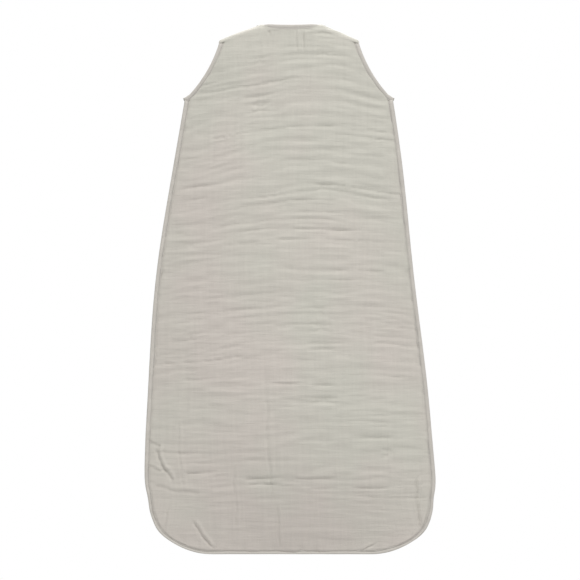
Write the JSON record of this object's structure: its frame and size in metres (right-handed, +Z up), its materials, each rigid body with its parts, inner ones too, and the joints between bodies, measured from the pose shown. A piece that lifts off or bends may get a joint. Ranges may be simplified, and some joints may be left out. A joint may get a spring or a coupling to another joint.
{
  "type": "baby sleeping bag",
  "caption": "Sleeveless baby sleeping bag in crinkled muslin, flaring to a rounded closed foot, with a centre-front zip, folding front halves and snapped shoulder tabs.",
  "frame": {"origin": "midway between the two shoulder crests at their neck ends, at the top of the bag, on the plane of its side seams: where shoulders or a hanger carry it", "axes": "+Z up, from hem to shoulders; +Y out of the front, which has the zip; +X across the bag, to the side of its wearer's right arm"},
  "size_m": [0.498, 0.0635, 0.902],
  "materials": {
    "outer_muslin": "crinkled matte cotton gauze, light warm grey",
    "lining_muslin": "matte cotton gauze, light warm grey",
    "binding_cotton": "matte woven cotton, light warm grey",
    "label": "blank satin ribbon, off-white",
    "zip_tape": "woven tape, warm grey",
    "zip_teeth": "satin moulded plastic, warm grey",
    "zip_metal": "enamelled die-cast metal, warm grey",
    "snap_metal": "nickel-free stamped steel",
    "snap_cap": "satin enamel, warm grey"
  },
  "bodies": {
    "bag": {"back_lining": "lining_muslin", "back_neck_binding": "binding_cotton", "back_panel": "outer_muslin", "left_arm_snap_ring": "snap_metal", "left_arm_snap_stud": "snap_metal", "left_armpit_tack": "binding_cotton", "left_back_armhole_binding": "binding_cotton", "left_back_strap": "outer_muslin", "left_front_side": "outer_muslin", "left_lining_side": "lining_muslin", "left_neck_snap_ring": "snap_metal", "left_neck_snap_stud": "snap_metal", "neck_label": "label", "right_arm_snap_ring": "snap_metal", "right_arm_snap_stud": "snap_metal", "right_armpit_tack": "binding_cotton", "right_back_armhole_binding": "binding_cotton", "right_back_strap": "outer_muslin", "right_front_side": "outer_muslin", "right_lining_side": "lining_muslin", "right_neck_snap_ring": "snap_metal", "right_neck_snap_stud": "snap_metal", "side_hem_binding": "binding_cotton", "zip_foot_tape": "zip_tape", "zip_foot_teeth": "zip_teeth"},
    "right_flap": {"right_flap_armhole_binding": "binding_cotton", "right_flap_neck_binding": "binding_cotton", "right_front_flap": "outer_muslin", "right_lining_flap": "lining_muslin", "right_zip_tape": "zip_tape", "right_zip_teeth": "zip_teeth", "right_zip_top_stop": "zip_teeth"},
    "left_flap": {"left_flap_armhole_binding": "binding_cotton", "left_flap_neck_binding": "binding_cotton", "left_front_flap": "outer_muslin", "left_lining_flap": "lining_muslin", "left_zip_tape": "zip_tape", "left_zip_teeth": "zip_teeth", "left_zip_top_stop": "zip_teeth", "zip_guard": "lining_muslin"},
    "right_tab": {"right_arm_snap_cap": "snap_cap", "right_arm_snap_socket": "snap_metal", "right_front_tab": "outer_muslin", "right_neck_snap_cap": "snap_cap", "right_neck_snap_socket": "snap_metal", "right_tab_binding": "binding_cotton"},
    "left_tab": {"left_arm_snap_cap": "snap_cap", "left_arm_snap_socket": "snap_metal", "left_front_tab": "outer_muslin", "left_neck_snap_cap": "snap_cap", "left_neck_snap_socket": "snap_metal", "left_tab_binding": "binding_cotton"},
    "zip_slider": {"zip_slider": "zip_metal"},
    "zip_pull": {"zip_pull": "zip_metal"}
  },
  "joints": [
    {"name": "zip_slide", "type": "slide", "parent": "bag", "child": "zip_slider", "axis": [0, 0, -1], "range_m": [0, 0.7265]},
    {"name": "right_flap_open", "type": "hinge", "parent": "bag", "child": "right_flap", "pos_m": [0.006, 0.016, -0.79], "axis": [-0.231, 0.0029, -0.973], "range_deg": [0, 105]},
    {"name": "left_flap_open", "type": "hinge", "parent": "bag", "child": "left_flap", "pos_m": [-0.006, 0.016, -0.79], "axis": [-0.231, -0.0029, 0.973], "range_deg": [0, 105]},
    {"name": "right_tab_fold", "type": "hinge", "parent": "right_flap", "child": "right_tab", "pos_m": [0.036, 0.0182, -0.041], "axis": [-0.9146, 0.0809, 0.3962], "range_deg": [0, 150]},
    {"name": "left_tab_fold", "type": "hinge", "parent": "left_flap", "child": "left_tab", "pos_m": [-0.036, 0.0182, -0.041], "axis": [-0.9146, -0.0809, -0.3962], "range_deg": [0, 150]},
    {"name": "pull_swing", "type": "hinge", "parent": "zip_slider", "child": "zip_pull", "pos_m": [0, 0.01875, -0.0668], "axis": [1, 0, 0], "range_deg": [0, 160]}
  ],
  "couplings": [
    {"joint": "right_flap_open", "follows": "zip_slide", "rad_per_m": 2.522},
    {"joint": "left_flap_open", "follows": "zip_slide", "rad_per_m": 2.522}
  ]
}
